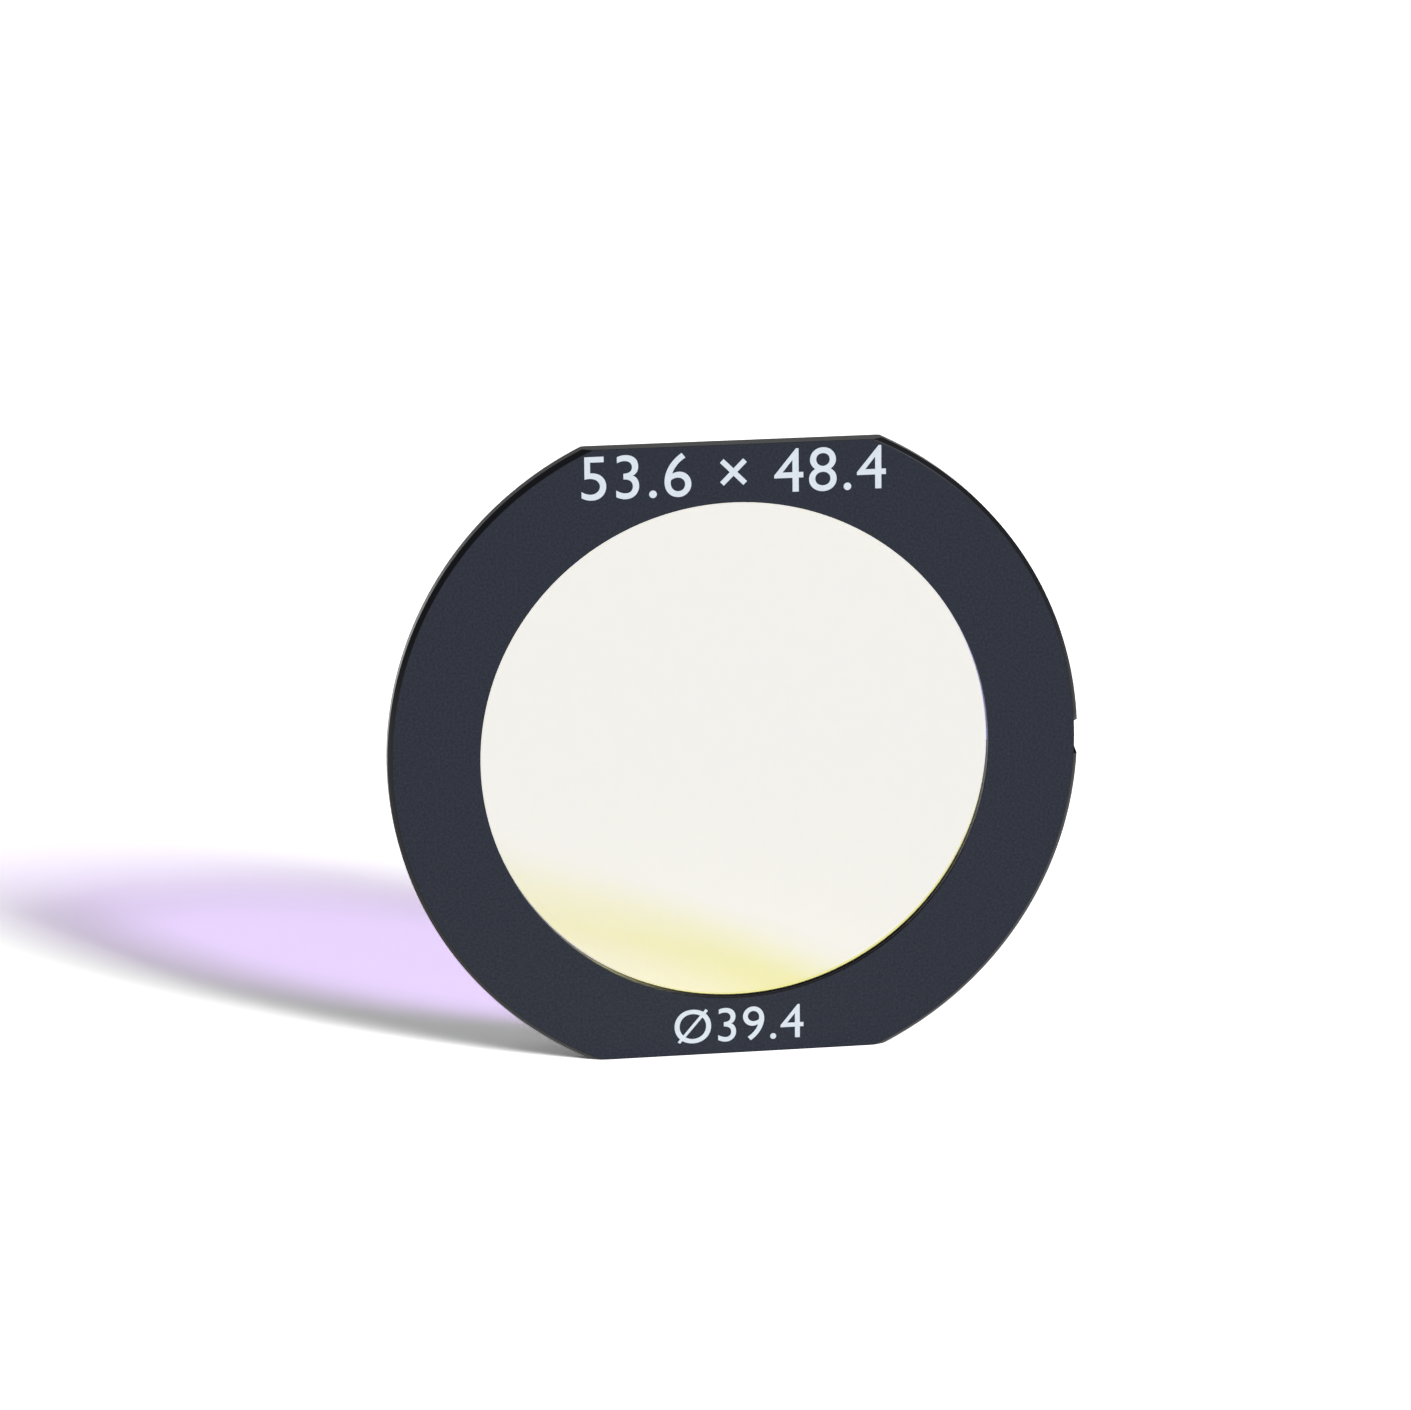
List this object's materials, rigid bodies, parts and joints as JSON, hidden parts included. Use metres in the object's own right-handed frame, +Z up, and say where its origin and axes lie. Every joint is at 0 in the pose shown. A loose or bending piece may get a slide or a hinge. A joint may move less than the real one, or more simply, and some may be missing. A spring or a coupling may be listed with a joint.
{
  "type": "light pollution filter",
  "caption": "Thin round clip-in light pollution filter: a flanged black metal frame with milled flats that holds coated glass between its front lip and a threaded retaining ring.",
  "frame": {"origin": "on the optical axis, in the seat plane where the back of the flange bears on the camera", "axes": "+Y along the light, from the front face towards the camera; +Z up, square to the milled flats; +X towards the notch"},
  "size_m": [0.0536, 0.0031, 0.0484],
  "materials": {
    "black_anodised_aluminium": "bead-blasted and black anodised, matte",
    "coated_glass": "polished, with a dichroic interference coating that passes magenta and reflects yellow-green",
    "black_anodised_ring": "turned and black anodised, satin",
    "white_print": "pad-printed matte ink"
  },
  "bodies": {
    "root": {"frame": "black_anodised_aluminium", "filter_glass": "coated_glass", "retaining_ring": "black_anodised_ring"}
  },
  "joints": []
}
